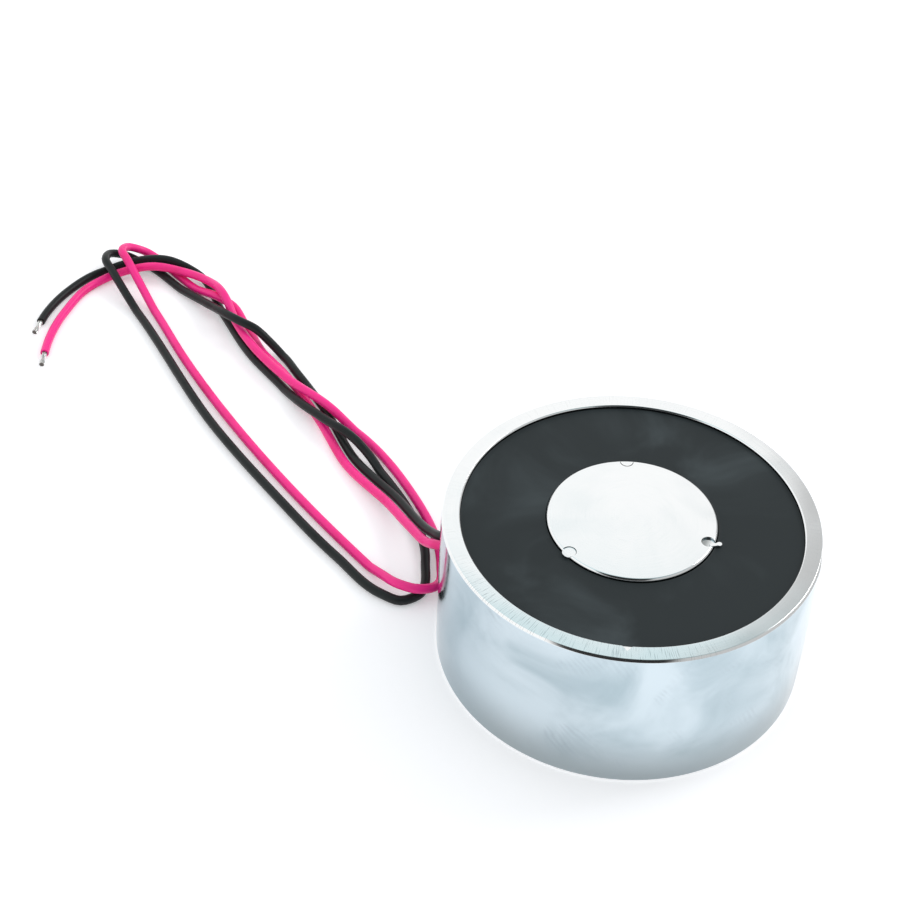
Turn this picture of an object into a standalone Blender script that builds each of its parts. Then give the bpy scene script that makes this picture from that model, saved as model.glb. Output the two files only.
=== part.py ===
# A potted round holding electromagnet with two flying leads.
# Metres, +Z up. The origin is the middle of the back face, which stands on the table at z = 0.
# The holding face looks up, and the leads leave through the side wall towards -X.
import math

import bmesh
import bpy
from mathutils import Vector

MM = 0.001

# Steel body: cup, floor and centre pole are turned from one bar, and the coil's chamber between them.
BODY_DIAMETER = 65.0 * MM
BODY_HEIGHT = 30.0 * MM
WALL_THICKNESS = 3.25 * MM
FLOOR_THICKNESS = 6.0 * MM
COIL_CHAMBER_WIDTH = 14.65 * MM
OUTER_CHAMFER = 0.4 * MM
INNER_CHAMFER = 0.2 * MM
POLE_CHAMFER = 0.3 * MM
FLOOR_FILLET = 0.8 * MM

# Threaded mounting hole in the back: an M8 core hole with its drill point and its countersink.
THREAD_DIAMETER = 8.0 * MM
TAP_DRILL_DIAMETER = 6.8 * MM
TAP_DRILL_DEPTH = 12.0 * MM
DRILL_POINT_ANGLE = math.radians(118.0)
COUNTERSINK_MARGIN = 0.2 * MM

# Clearances between pieces that touch on the real part.
GAP = 0.3 * MM
BORE_GAP = 0.25 * MM

# Coil bobbin, winding and tape.
BOBBIN_HUB_WALL = 1.0 * MM
BOBBIN_FLANGE = 1.0 * MM
FLANGE_SIDE_GAP = 1.2 * MM
TAPE_THICKNESS = 0.4 * MM
TAIL_DIAMETER = 0.5 * MM
TAIL_SLOT_WIDTH = 1.8 * MM
WRAP_NOTCH_WIDTH = 3.6 * MM
TAIL_ANGLE = math.radians(50.0)
TAIL_LEAN = math.radians(4.0)

# Resin.
POTTING_RECESS = 0.7 * MM
POTTING_THICKNESS = 3.1 * MM
POTTING_MENISCUS = 0.15 * MM
JOINT_POCKET_ANGLE = math.radians(60.0)

# Leads, with their joints to the winding's tails.
LEAD_DIAMETER = 1.8 * MM
LEAD_SPACING = 2.1 * MM
CORE_DIAMETER = 1.1 * MM
TIP_LENGTH = 3.8 * MM
TIP_CHAMFER = 0.1 * MM
ENTRY_BEND_RADIUS = 3.8 * MM
JOINT_ANGLE = math.radians(20.0)
JOINT_FLOOR_GAP = 0.4 * MM
JOINT_WALL_GAP = 0.9 * MM
INSULATION_END = -1.5 * MM
CORE_LENGTH = 2.5 * MM
SOLDER_LENGTH = 2.0 * MM
SOLDER_DIAMETER = 1.3 * MM
SOLDER_END_DIAMETER = 0.7 * MM
SLEEVE_WALL = 0.3 * MM
SLEEVE_OVERLAP = 2.5 * MM
SLEEVE_LENGTH = 10.0 * MM
TABLE_CLEARANCE = 0.05 * MM

# Rubber bush in the side hole.
BUSH_WALL = 0.5 * MM
BUSH_PROUD = 0.8 * MM
BUSH_CHAMFER = 0.25 * MM

# Punch marks that push the pole's edge out over the resin: angle, how far the dent's middle lies
# inside the pole's edge, the dent's radius, how far the lug reaches past the pole's edge, and half the
# lug's width. The second mark has no lug.
STAKES = [
    (0.0, 1.1 * MM, 1.2 * MM, 1.3 * MM, 0.3 * MM),
    (113.0, 0.4 * MM, 1.2 * MM, 0.0, 0.0),
    (240.0, 0.7 * MM, 1.2 * MM, 0.5 * MM, 1.1 * MM),
]
LUG_THICKNESS = 0.3 * MM
LUG_CLEARANCE = 0.2 * MM
LUG_OVERLAP = 0.8 * MM
PLAIN_DENT_DEPTH = 0.5 * MM

# Nick in the rim's inner edge.
NICK_ANGLE = -72.6
NICK_WIDTH = 2.0 * MM
NICK_REACH = 1.2 * MM
NICK_DEPTH = 0.4 * MM

TURNED_STEPS = 96
SMALL_STEPS = 24
FILLET_STEPS = 4
ENTRY_BEND_STEPS = 3
SOLDER_STEPS = 6
SHARP_ANGLE = math.radians(30.0)
CORD_STEP = 3 * LEAD_DIAMETER
MERGE_DISTANCE = 1e-6
CUT_MARGIN = 1.0 * MM

# What follows from the sizes above.
BODY_RADIUS = BODY_DIAMETER / 2
CHAMBER_RADIUS = BODY_RADIUS - WALL_THICKNESS
POLE_RADIUS = CHAMBER_RADIUS - COIL_CHAMBER_WIDTH
LEAD_RADIUS = LEAD_DIAMETER / 2
LEAD_LOWEST = LEAD_RADIUS + TABLE_CLEARANCE

POTTING_TOP = BODY_HEIGHT - POTTING_RECESS
POTTING_BOTTOM = POTTING_TOP - POTTING_THICKNESS
BOBBIN_TOP = POTTING_BOTTOM - GAP
BOBBIN_BOTTOM = FLOOR_THICKNESS + GAP + FLOOR_FILLET
LOWER_FLANGE_TOP = BOBBIN_BOTTOM + BOBBIN_FLANGE
UPPER_FLANGE_BOTTOM = BOBBIN_TOP - BOBBIN_FLANGE
FLANGE_RADIUS = CHAMBER_RADIUS - FLANGE_SIDE_GAP
HUB_INNER_RADIUS = POLE_RADIUS + GAP
HUB_RADIUS = HUB_INNER_RADIUS + BOBBIN_HUB_WALL

# The joints lie against the wall, on the lower flange, and the winding fills what they leave.
SLEEVE_BIG_RADIUS = LEAD_RADIUS + BORE_GAP + SLEEVE_WALL
SLEEVE_SMALL_RADIUS = SOLDER_DIAMETER / 2 + BORE_GAP + SLEEVE_WALL
SLEEVE_START = INSULATION_END - SLEEVE_OVERLAP
SLEEVE_END = SLEEVE_START + SLEEVE_LENGTH
EXIT_HEIGHT = LOWER_FLANGE_TOP + JOINT_FLOOR_GAP + SLEEVE_BIG_RADIUS
JOINT_TAPE_RADIUS = CHAMBER_RADIUS - JOINT_WALL_GAP - TAPE_THICKNESS
SLEEVE_END_RADIUS = JOINT_TAPE_RADIUS - GAP - SLEEVE_SMALL_RADIUS
JOINT_RADIUS = math.sqrt(SLEEVE_END_RADIUS**2 - SLEEVE_END**2)
TAPE_HALF_ANGLE = JOINT_ANGLE + math.atan2(SLEEVE_END, JOINT_RADIUS)

COIL_BOTTOM = LOWER_FLANGE_TOP + GAP
COIL_TOP = UPPER_FLANGE_BOTTOM - GAP
PAD_RADIUS = JOINT_RADIUS - SLEEVE_BIG_RADIUS - GAP
PAD_INNER_RADIUS = PAD_RADIUS - TAPE_THICKNESS
WRAP_RADIUS = PAD_INNER_RADIUS - GAP
WRAP_INNER_RADIUS = WRAP_RADIUS - TAPE_THICKNESS
WINDING_RADIUS = WRAP_INNER_RADIUS - GAP
WINDING_INNER_RADIUS = HUB_RADIUS + GAP
JOINT_BOTTOM = COIL_BOTTOM
JOINT_TOP = EXIT_HEIGHT + SLEEVE_BIG_RADIUS + GAP

BUSH_WAY_HALF_HEIGHT = LEAD_RADIUS + BORE_GAP
BUSH_WAY_HALF_WIDTH = LEAD_SPACING / 2 + BUSH_WAY_HALF_HEIGHT
BUSH_RADIUS = BUSH_WAY_HALF_WIDTH + BUSH_WALL
SIDE_HOLE_RADIUS = BUSH_RADIUS + GAP

LUG_BOTTOM = POTTING_TOP + LUG_CLEARANCE
LUG_TOP = LUG_BOTTOM + LUG_THICKNESS
LUG_ROOT = LUG_BOTTOM + LUG_THICKNESS / 3

# The leads' routes outside the body, chosen point by point, in millimetres. LOW is a lead that lies on
# the table. Each lead runs out to the far bend, back to a turn beside the body and out again to its tip.
LOW = LEAD_LOWEST / MM
BLACK_ROUTE = [
    (-34.3, 1.3, 9.8), (-38.0, 3.9, 7.3), (-50.0, 14.2, 2.7), (-63.0, 22.8, LOW),
    (-73.4, 32.6, LOW), (-84.6, 41.4, LOW), (-89.5, 45.0, LOW), (-93.3, 46.4, 2.5),
    (-96.7, 46.7, 4.6), (-100.5, 46.9, 5.3), (-113.5, 53.3, 2.1), (-120.0, 56.2, LOW),
    (-132.8, 61.0, LOW), (-136.2, 61.0, 1.6), (-138.5, 58.3, 3.2), (-137.6, 54.9, 4.2),
    (-134.4, 52.3, 3.7), (-124.5, 45.2, LOW), (-91.0, 18.7, LOW), (-72.5, 7.0, LOW),
    (-54.0, -3.5, LOW), (-42.5, -8.6, LOW), (-38.7, -8.7, LOW), (-36.4, -6.2, LOW),
    (-38.6, 2.4, LOW), (-56.5, 21.3, LOW), (-60.0, 23.7, 2.0), (-63.5, 25.2, 3.3),
    (-72.4, 28.6, 3.2), (-79.0, 31.9, 2.2), (-84.5, 35.6, LOW), (-96.3, 42.9, LOW),
    (-107.8, 52.6, LOW), (-119.0, 61.8, 1.7), (-125.3, 61.6, 3.3), (-138.4, 54.2, LOW),
    (-141.5, 44.0, LOW), (-141.0, 33.5, LOW),
]
RED_ROUTE = [
    (-34.3, -0.9, 9.8), (-37.9, 1.2, 7.3), (-43.5, 5.9, 5.0), (-50.0, 11.4, 3.1),
    (-64.0, 20.8, LOW), (-73.8, 29.9, LOW), (-88.0, 40.8, LOW), (-93.3, 43.9, LOW),
    (-101.8, 51.2, 1.1), (-105.5, 53.6, 2.7), (-109.2, 54.4, 3.3), (-117.0, 57.3, 1.3),
    (-122.0, 59.8, LOW), (-133.6, 63.4, 2.3), (-135.5, 60.8, 4.3), (-135.0, 57.7, 5.5),
    (-132.3, 55.4, 5.2), (-127.5, 51.9, 3.0), (-121.0, 46.8, LOW), (-107.5, 35.4, LOW),
    (-44.4, -4.8, 1.8), (-39.8, -7.1, 3.3), (-36.6, -6.9, 3.3), (-34.4, -4.9, 2.5),
    (-33.9, -1.8, 1.3), (-35.6, 2.8, LOW), (-50.0, 19.6, LOW), (-67.5, 30.6, 1.4),
    (-71.6, 31.9, 2.9), (-84.8, 36.9, 3.1), (-97.0, 44.2, 3.0), (-102.5, 48.8, 3.0),
    (-107.8, 53.4, 5.5), (-114.8, 58.2, 3.8), (-120.3, 59.4, 3.1), (-128.0, 58.2, 3.1),
    (-134.0, 55.0, 1.7), (-137.7, 49.4, LOW), (-138.2, 38.7, LOW), (-134.7, 24.8, LOW),
]


def clear_scene():
    for old in list(bpy.data.objects):
        bpy.data.objects.remove(old)


def make_material(name, colour, roughness, metallic):
    material = bpy.data.materials.new(name)
    material.use_nodes = True
    shader = material.node_tree.nodes["Principled BSDF"]
    shader.inputs["Base Color"].default_value = (*colour, 1.0)
    shader.inputs["Roughness"].default_value = roughness
    shader.inputs["Metallic"].default_value = metallic
    material.diffuse_color = (*colour, 1.0)
    return material


def add_piece(name, bm, material=None):
    """Turn a bmesh into a named object, round faces smooth and edges over SHARP_ANGLE sharp."""
    bm.normal_update()
    bmesh.ops.recalc_face_normals(bm, faces=bm.faces)
    mesh = bpy.data.meshes.new(name)
    bm.to_mesh(mesh)
    bm.free()
    mesh.shade_smooth()
    mesh.set_sharp_from_angle(angle=SHARP_ANGLE)
    return add_object(name, mesh, material)


def add_object(name, data, material=None):
    piece = bpy.data.objects.new(name, data)
    bpy.context.scene.collection.objects.link(piece)
    if material:
        data.materials.append(material)
    return piece


def apply_boolean(piece, tool, operation):
    """Leave a live Boolean on the piece, with its tool kept as a hidden guide."""
    tool.hide_render = True
    tool.display_type = "WIRE"
    boolean = piece.modifiers.new(f"{operation.lower()} {tool.name}", "BOOLEAN")
    boolean.operation = operation
    boolean.object = tool
    boolean.solver = "EXACT"


def cut(piece, *tools):
    for tool in tools:
        apply_boolean(piece, tool, "DIFFERENCE")


def join(piece, *tools):
    for tool in tools:
        apply_boolean(piece, tool, "UNION")


def chamfered(previous, corner, following, size):
    """The two points that replace a corner when it is chamfered by size."""
    corner = Vector(corner)
    to_previous = (Vector(previous) - corner).normalized()
    to_following = (Vector(following) - corner).normalized()
    return [corner + to_previous * size, corner + to_following * size]


def filleted(previous, corner, following, size):
    """An arc in place of a right-angled corner, tangent to both sides at size from it."""
    corner = Vector(corner)
    to_previous = (Vector(previous) - corner).normalized() * size
    to_following = (Vector(following) - corner).normalized() * size
    centre = corner + to_previous + to_following
    turns = [math.pi / 2 * step / FILLET_STEPS for step in range(FILLET_STEPS + 1)]
    return [centre - to_following * math.cos(turn) - to_previous * math.sin(turn) for turn in turns]


def eased_outline(corners):
    """A closed (radius, height) outline. Each corner is (radius, height) with, after it, the size of
    its chamfer, or the size and the word "fillet" for a round one."""
    points = []
    for index, (radius, height, *ease) in enumerate(corners):
        previous = corners[index - 1][:2]
        following = corners[(index + 1) % len(corners)][:2]
        if not ease:
            points.append(Vector((radius, height)))
        elif len(ease) == 1:
            points += chamfered(previous, (radius, height), following, ease[0])
        else:
            points += filleted(previous, (radius, height), following, ease[0])
    return points


def turn_outline(outline, steps=TURNED_STEPS):
    """Spin a closed (radius, height) outline once round Z, with no seam left on the axis."""
    bm = bmesh.new()
    section = bm.faces.new([bm.verts.new((-radius, 0.0, height)) for radius, height in outline])
    edges = list(section.edges)
    bmesh.ops.delete(bm, geom=[section], context="FACES_ONLY")
    bmesh.ops.spin(bm, geom=edges, axis=(0, 0, 1), cent=(0, 0, 0), angle=2 * math.pi, steps=steps)
    bmesh.ops.remove_doubles(bm, verts=bm.verts, dist=MERGE_DISTANCE)
    seam = [edge for edge in bm.edges if all(vert.co.xy.length < MERGE_DISTANCE for vert in edge.verts)]
    bmesh.ops.delete(bm, geom=seam, context="EDGES")
    return bm


def turn_arc(outline, half_angle):
    """Spin a closed (radius, height) outline about Z over half_angle on each side of -X."""
    bm = bmesh.new()
    first = math.pi - half_angle
    section = bm.faces.new([bm.verts.new((*polar(radius, first), height)) for radius, height in outline])
    swept = [section, *section.edges]
    bmesh.ops.spin(bm, geom=swept, axis=(0, 0, 1), cent=(0, 0, 0), angle=2 * half_angle, steps=SMALL_STEPS)
    return bm


def place_along_x(bm, start):
    """Lay a shape that stands on z = 0 along -X, with its base at x = start, on the leads' height."""
    for vert in bm.verts:
        x, y, z = vert.co
        vert.co = (start - z, y, EXIT_HEIGHT + x)
    return bm


def extrude_outline(outline, bottom, top):
    """A straight-sided solid over a flat (x, y) outline."""
    bm = bmesh.new()
    base = bm.faces.new([bm.verts.new((x, y, bottom)) for x, y in outline])
    raised = bmesh.ops.extrude_face_region(bm, geom=[base])["geom"]
    raised_verts = [item for item in raised if isinstance(item, bmesh.types.BMVert)]
    bmesh.ops.translate(bm, vec=(0, 0, top - bottom), verts=raised_verts)
    return bm


def prism(name, outline, bottom, top):
    return add_piece(name, extrude_outline(outline, bottom, top))


def polar(radius, angle):
    return radius * math.cos(angle), radius * math.sin(angle)


def circle(centre, radius, steps=SMALL_STEPS):
    turns = [2 * math.pi * (step + 0.5) / steps for step in range(steps)]
    return [(centre[0] + radius * math.cos(t), centre[1] + radius * math.sin(t)) for t in turns]


def smooth_line(route, step):
    """Points along a smooth curve through the route's own points, about one step apart.
    The curve's direction at a point leans to its nearer neighbour, so close points make tight bends."""
    points = [Vector(p) for p in route]
    lengths = [(b - a).length for a, b in zip(points, points[1:])]
    slopes = [(b - a) / length for a, b, length in zip(points, points[1:], lengths)]
    neighbours = zip(slopes, slopes[1:], lengths, lengths[1:])
    inner = [(slope_a * b + slope_b * a) / (a + b) for slope_a, slope_b, a, b in neighbours]
    tangents = [2 * slopes[0] - inner[0], *inner, 2 * slopes[-1] - inner[-1]]
    line = []
    for a, b, ta, tb, length in zip(points, points[1:], tangents, tangents[1:], lengths):
        count = max(1, round(length / step))
        for index in range(count):
            t = index / count
            line.append(
                (2 * t**3 - 3 * t**2 + 1) * a
                + (t**3 - 2 * t**2 + t) * length * ta
                + (3 * t**2 - 2 * t**3) * b
                + (t**3 - t**2) * length * tb
            )
    return [*line, points[-1]]


def add_cord(name, line, diameter, material=None):
    """A round cord along a line, with its ends filled."""
    data = bpy.data.curves.new(name, "CURVE")
    data.dimensions = "3D"
    data.bevel_depth = diameter / 2
    data.bevel_resolution = 2
    data.use_fill_caps = True
    spline = data.splines.new("POLY")
    spline.points.add(len(line) - 1)
    for point, place in zip(spline.points, line):
        point.co = (*place, 1.0)
    return add_object(name, data, material)


def add_turned_along(name, outline, start, direction, material, steps=SMALL_STEPS // 2):
    """Turn a (radius, distance) outline about a line that starts at start and runs along direction."""
    bm = turn_outline(outline, steps)
    bm.transform(direction.to_track_quat("Z", "Y").to_matrix().to_4x4())
    bmesh.ops.translate(bm, vec=start, verts=bm.verts)
    return add_piece(name, bm, material)


def joint_point(side, along):
    """A place on the line of the joint on one side of the exit: black on side 1, red on side -1.
    The line touches the circle of the joints at JOINT_ANGLE from -X, where along is 0."""
    x = -JOINT_RADIUS * math.cos(JOINT_ANGLE) + along * math.sin(JOINT_ANGLE)
    y = JOINT_RADIUS * math.sin(JOINT_ANGLE) + along * math.cos(JOINT_ANGLE)
    return Vector((x, side * y, EXIT_HEIGHT))


def joint_direction(side):
    return Vector((math.sin(JOINT_ANGLE), side * math.cos(JOINT_ANGLE), 0.0))


def entry_bend():
    """Where the bend from the side hole to the joint's line starts, as x, and how far it turns."""
    turn = math.pi / 2 - JOINT_ANGLE
    foot = joint_point(1, 0.0)
    end_y = LEAD_SPACING / 2 + ENTRY_BEND_RADIUS * (1 - math.cos(turn))
    along = (end_y - foot.y) / math.cos(JOINT_ANGLE)
    end_x = foot.x + along * math.sin(JOINT_ANGLE)
    return end_x - ENTRY_BEND_RADIUS * math.sin(turn), turn


def lead_line(side, route):
    """A lead from its joint, round the entry bend, out through the bush and along its route."""
    start_x, turn = entry_bend()
    points = [joint_point(side, INSULATION_END)]
    for step in range(ENTRY_BEND_STEPS, -1, -1):
        angle = turn * step / ENTRY_BEND_STEPS
        x = start_x + ENTRY_BEND_RADIUS * math.sin(angle)
        y = LEAD_SPACING / 2 + ENTRY_BEND_RADIUS * (1 - math.cos(angle))
        points.append(Vector((x, side * y, EXIT_HEIGHT)))
    points += [Vector(place) * MM for place in route]
    line = smooth_line(points, CORD_STEP)
    return [Vector((x, y, max(z, LEAD_LOWEST))) for x, y, z in line]


def build_body(material):
    tap_radius = TAP_DRILL_DIAMETER / 2
    sink_radius = THREAD_DIAMETER / 2 + COUNTERSINK_MARGIN
    point_height = tap_radius / math.tan(DRILL_POINT_ANGLE / 2)
    outline = eased_outline([
        (0.0, TAP_DRILL_DEPTH + point_height),
        (tap_radius, TAP_DRILL_DEPTH),
        (tap_radius, sink_radius - tap_radius),
        (sink_radius, 0.0),
        (BODY_RADIUS, 0.0, OUTER_CHAMFER),
        (BODY_RADIUS, BODY_HEIGHT, OUTER_CHAMFER),
        (CHAMBER_RADIUS, BODY_HEIGHT, INNER_CHAMFER),
        (CHAMBER_RADIUS, FLOOR_THICKNESS, FLOOR_FILLET, "fillet"),
        (POLE_RADIUS, FLOOR_THICKNESS, FLOOR_FILLET, "fillet"),
        (POLE_RADIUS, BODY_HEIGHT, POLE_CHAMFER),
        (0.0, BODY_HEIGHT),
    ])
    body = add_piece("magnet_body", turn_outline(outline), material)
    add_stakes(body)
    cut(body, side_hole_tool(), nick_tool())
    return body


def side_hole_tool():
    outline = circle((0.0, 0.0), SIDE_HOLE_RADIUS, 2 * SMALL_STEPS)
    bm = extrude_outline(outline, 0.0, WALL_THICKNESS + 2 * CUT_MARGIN)
    return add_piece("side_hole_tool", place_along_x(bm, CUT_MARGIN - CHAMBER_RADIUS))


def nick_tool():
    """A small triangle that points outwards from the rim's inner edge."""
    angle = math.radians(NICK_ANGLE)
    half_width = NICK_WIDTH / 2 / CHAMBER_RADIUS
    outline = [
        polar(CHAMBER_RADIUS - CUT_MARGIN, angle - half_width),
        polar(CHAMBER_RADIUS, angle - half_width),
        polar(CHAMBER_RADIUS + NICK_REACH, angle),
        polar(CHAMBER_RADIUS, angle + half_width),
        polar(CHAMBER_RADIUS - CUT_MARGIN, angle + half_width),
    ]
    return prism("nick_tool", outline, BODY_HEIGHT - NICK_DEPTH, BODY_HEIGHT + CUT_MARGIN)


def add_stakes(body):
    """Each stake is a punched dent at the pole's edge. Two of them pushed a thin lug out over the resin."""
    for index, (degrees, inset, radius, reach, half_width) in enumerate(STAKES, 1):
        angle = math.radians(degrees)
        floor = LUG_ROOT if reach else BODY_HEIGHT - PLAIN_DENT_DEPTH
        centre = polar(POLE_RADIUS - inset, angle)
        cut(body, prism(f"dent_tool_{index}", circle(centre, radius), floor, BODY_HEIGHT + CUT_MARGIN))
        if reach:
            outline = lug_outline(angle, reach, half_width)
            join(body, prism(f"lug_tool_{index}", outline, LUG_BOTTOM, LUG_TOP))


def lug_outline(angle, reach, half_width):
    """A tongue with a round end, from inside the pole to reach past its edge."""
    along = Vector(polar(1.0, angle))
    across = Vector((-along.y, along.x)) * half_width
    root = along * (POLE_RADIUS - LUG_OVERLAP)
    tip = along * (POLE_RADIUS + reach - half_width)
    outline = [root + across, root - across]
    for step in range(SMALL_STEPS // 2 + 1):
        turn = 2 * math.pi * step / SMALL_STEPS
        outline.append(tip - across * math.cos(turn) + along * half_width * math.sin(turn))
    return outline


def build_bobbin(material):
    outline = [
        (HUB_INNER_RADIUS, BOBBIN_BOTTOM),
        (FLANGE_RADIUS, BOBBIN_BOTTOM),
        (FLANGE_RADIUS, LOWER_FLANGE_TOP),
        (HUB_RADIUS, LOWER_FLANGE_TOP),
        (HUB_RADIUS, UPPER_FLANGE_BOTTOM),
        (FLANGE_RADIUS, UPPER_FLANGE_BOTTOM),
        (FLANGE_RADIUS, BOBBIN_TOP),
        (HUB_INNER_RADIUS, BOBBIN_TOP),
    ]
    bobbin = add_piece("coil_bobbin", turn_outline(outline, TURNED_STEPS // 2), material)
    radii = (HUB_RADIUS + BOBBIN_HUB_WALL, FLANGE_RADIUS + CUT_MARGIN)
    heights = (UPPER_FLANGE_BOTTOM - GAP / 2, BOBBIN_TOP + CUT_MARGIN)
    for name, angle in tail_angles():
        cut(bobbin, radial_box(f"flange_slot_tool_{name}", angle, radii, heights, TAIL_SLOT_WIDTH))
    return bobbin


def tail_angles():
    """Where round the coil the black and the red lead's tail comes out of the winding."""
    return [("black", math.pi - TAIL_ANGLE), ("red", math.pi + TAIL_ANGLE)]


def radial_box(name, angle, radii, heights, width):
    """A box that lies along a radius, for a slot or a notch."""
    along = Vector(polar(1.0, angle))
    across = Vector((-along.y, along.x)) * width / 2
    inner, outer = (along * radius for radius in radii)
    return prism(name, [inner - across, outer - across, outer + across, inner + across], *heights)


def build_winding(material):
    """The copper winding. Its two tails lead out through the tape and round to the joints."""
    outline = [
        (WINDING_INNER_RADIUS, COIL_BOTTOM),
        (WINDING_RADIUS, COIL_BOTTOM),
        (WINDING_RADIUS, COIL_TOP),
        (WINDING_INNER_RADIUS, COIL_TOP),
    ]
    winding = add_piece("coil_winding", turn_outline(outline, TURNED_STEPS // 2), material)
    tail_start = INSULATION_END + CORE_LENGTH + SOLDER_LENGTH + 2 * GAP
    for side, (name, angle) in zip((1, -1), tail_angles()):
        outside = polar(PAD_RADIUS + GAP + TAIL_DIAMETER, angle + side * TAIL_LEAN)
        inside = polar(WINDING_RADIUS - TAIL_DIAMETER, angle)
        route = [
            joint_point(side, tail_start),
            joint_point(side, SLEEVE_END),
            (*outside, EXIT_HEIGHT),
            (*inside, EXIT_HEIGHT),
        ]
        guide = add_cord(f"tail_guide_{name}", smooth_line(route, 3 * TAIL_DIAMETER), TAIL_DIAMETER)
        evaluated = guide.evaluated_get(bpy.context.evaluated_depsgraph_get())
        join(winding, add_object(f"tail_tool_{name}", bpy.data.meshes.new_from_object(evaluated)))
        bpy.data.objects.remove(guide)
    return winding


def build_wrap(material):
    """One turn of tape round the winding, notched from below where the tails come out."""
    outline = [
        (WRAP_INNER_RADIUS, COIL_BOTTOM),
        (WRAP_RADIUS, COIL_BOTTOM),
        (WRAP_RADIUS, COIL_TOP),
        (WRAP_INNER_RADIUS, COIL_TOP),
    ]
    wrap = add_piece("coil_wrap", turn_outline(outline, TURNED_STEPS // 2), material)
    radii = (WRAP_INNER_RADIUS - CUT_MARGIN, WRAP_RADIUS + CUT_MARGIN)
    heights = (COIL_BOTTOM - CUT_MARGIN, EXIT_HEIGHT + TAIL_DIAMETER + GAP)
    for name, angle in tail_angles():
        cut(wrap, radial_box(f"wrap_notch_tool_{name}", angle, radii, heights, WRAP_NOTCH_WIDTH))
    return wrap


def build_joint_tapes(material):
    """The pad under the joints, and the tape laid over them with a notch where the leads come in."""
    strips = []
    for name, inner in (("joint_pad", PAD_INNER_RADIUS), ("joint_tape", JOINT_TAPE_RADIUS)):
        outline = [
            (inner, JOINT_BOTTOM),
            (inner + TAPE_THICKNESS, JOINT_BOTTOM),
            (inner + TAPE_THICKNESS, JOINT_TOP),
            (inner, JOINT_TOP),
        ]
        strips.append(add_piece(name, turn_arc(outline, TAPE_HALF_ANGLE), material))
    pad, tape = strips
    radii = (JOINT_RADIUS, CHAMBER_RADIUS)
    heights = (JOINT_BOTTOM - CUT_MARGIN, EXIT_HEIGHT + LEAD_RADIUS + GAP)
    cut(tape, radial_box("tape_notch_tool", math.pi, radii, heights, 2 * (LEAD_SPACING + LEAD_RADIUS)))
    return pad, tape


def build_potting(material):
    """The resin: a flat ring in the mouth, and a jacket down between the coil and the wall,
    hollow where the joints lie."""
    inner, outer = POLE_RADIUS + GAP, CHAMBER_RADIUS - GAP
    jacket_inner, neck_inner = WRAP_RADIUS + GAP, FLANGE_RADIUS + GAP
    outline = eased_outline([
        (inner, POTTING_TOP, POTTING_MENISCUS),
        (inner, POTTING_BOTTOM),
        (neck_inner, POTTING_BOTTOM),
        (neck_inner, COIL_TOP),
        (jacket_inner, COIL_TOP),
        (jacket_inner, COIL_BOTTOM),
        (outer, COIL_BOTTOM),
        (outer, POTTING_TOP, POTTING_MENISCUS),
    ])
    potting = add_piece("potting", turn_outline(outline), material)
    pocket = [
        (jacket_inner - CUT_MARGIN, COIL_BOTTOM - CUT_MARGIN),
        (outer + CUT_MARGIN, COIL_BOTTOM - CUT_MARGIN),
        (outer + CUT_MARGIN, JOINT_TOP + GAP),
        (jacket_inner - CUT_MARGIN, JOINT_TOP + GAP),
    ]
    cut(potting, add_piece("joint_pocket_tool", turn_arc(pocket, JOINT_POCKET_ANGLE)))
    return potting


def build_bush(material):
    """The rubber bush: a plug in the side hole with one oblong way for both leads."""
    start_x, _ = entry_bend()
    length = BODY_RADIUS + BUSH_PROUD + start_x
    outline = eased_outline([
        (0.0, 0.0),
        (BUSH_RADIUS, 0.0, BUSH_CHAMFER),
        (BUSH_RADIUS, length, BUSH_CHAMFER),
        (0.0, length),
    ])
    bm = turn_outline(outline, 2 * SMALL_STEPS)
    bush = add_piece("lead_bush", place_along_x(bm, start_x), material)
    way = extrude_outline(bush_way_outline(), -CUT_MARGIN, length + CUT_MARGIN)
    cut(bush, add_piece("bush_way_tool", place_along_x(way, start_x)))
    return bush


def bush_way_outline():
    """An oblong with round ends, as wide as both leads side by side."""
    outline = []
    for side in (1, -1):
        for step in range(SMALL_STEPS // 2 + 1):
            turn = 2 * math.pi * step / SMALL_STEPS
            x = side * BUSH_WAY_HALF_HEIGHT * math.cos(turn)
            y = side * (BUSH_WAY_HALF_HEIGHT * math.sin(turn) + LEAD_SPACING / 2)
            outline.append((x, y))
    return outline


def build_joint(colour_name, side, solder, core, sleeve):
    """One soldered joint: the lead's bare core, the solder and the sleeve shrunk over them."""
    direction = joint_direction(side)
    core_radius = CORE_DIAMETER / 2
    core_end = CORE_LENGTH - GAP
    core_outline = [(0.0, 0.0), (core_radius, 0.0), (core_radius, core_end), (0.0, core_end)]
    core_start = joint_point(side, INSULATION_END + GAP)
    add_turned_along(f"lead_core_{colour_name}", core_outline, core_start, direction, core)
    solder_start = joint_point(side, INSULATION_END + CORE_LENGTH + GAP)
    add_turned_along(f"solder_{colour_name}", solder_outline(), solder_start, direction, solder)
    big_inner = LEAD_RADIUS + BORE_GAP
    small_inner = SOLDER_DIAMETER / 2 + BORE_GAP
    shoulder = SLEEVE_OVERLAP + GAP
    taper = SLEEVE_BIG_RADIUS - SLEEVE_SMALL_RADIUS
    sleeve_outline = [
        (big_inner, 0.0),
        (SLEEVE_BIG_RADIUS, 0.0),
        (SLEEVE_BIG_RADIUS, shoulder),
        (SLEEVE_SMALL_RADIUS, shoulder + taper),
        (SLEEVE_SMALL_RADIUS, SLEEVE_LENGTH),
        (small_inner, SLEEVE_LENGTH),
        (small_inner, shoulder + taper),
        (big_inner, shoulder),
    ]
    start = joint_point(side, SLEEVE_START)
    add_turned_along(f"sleeve_{colour_name}", sleeve_outline, start, direction, sleeve, SMALL_STEPS)


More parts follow.
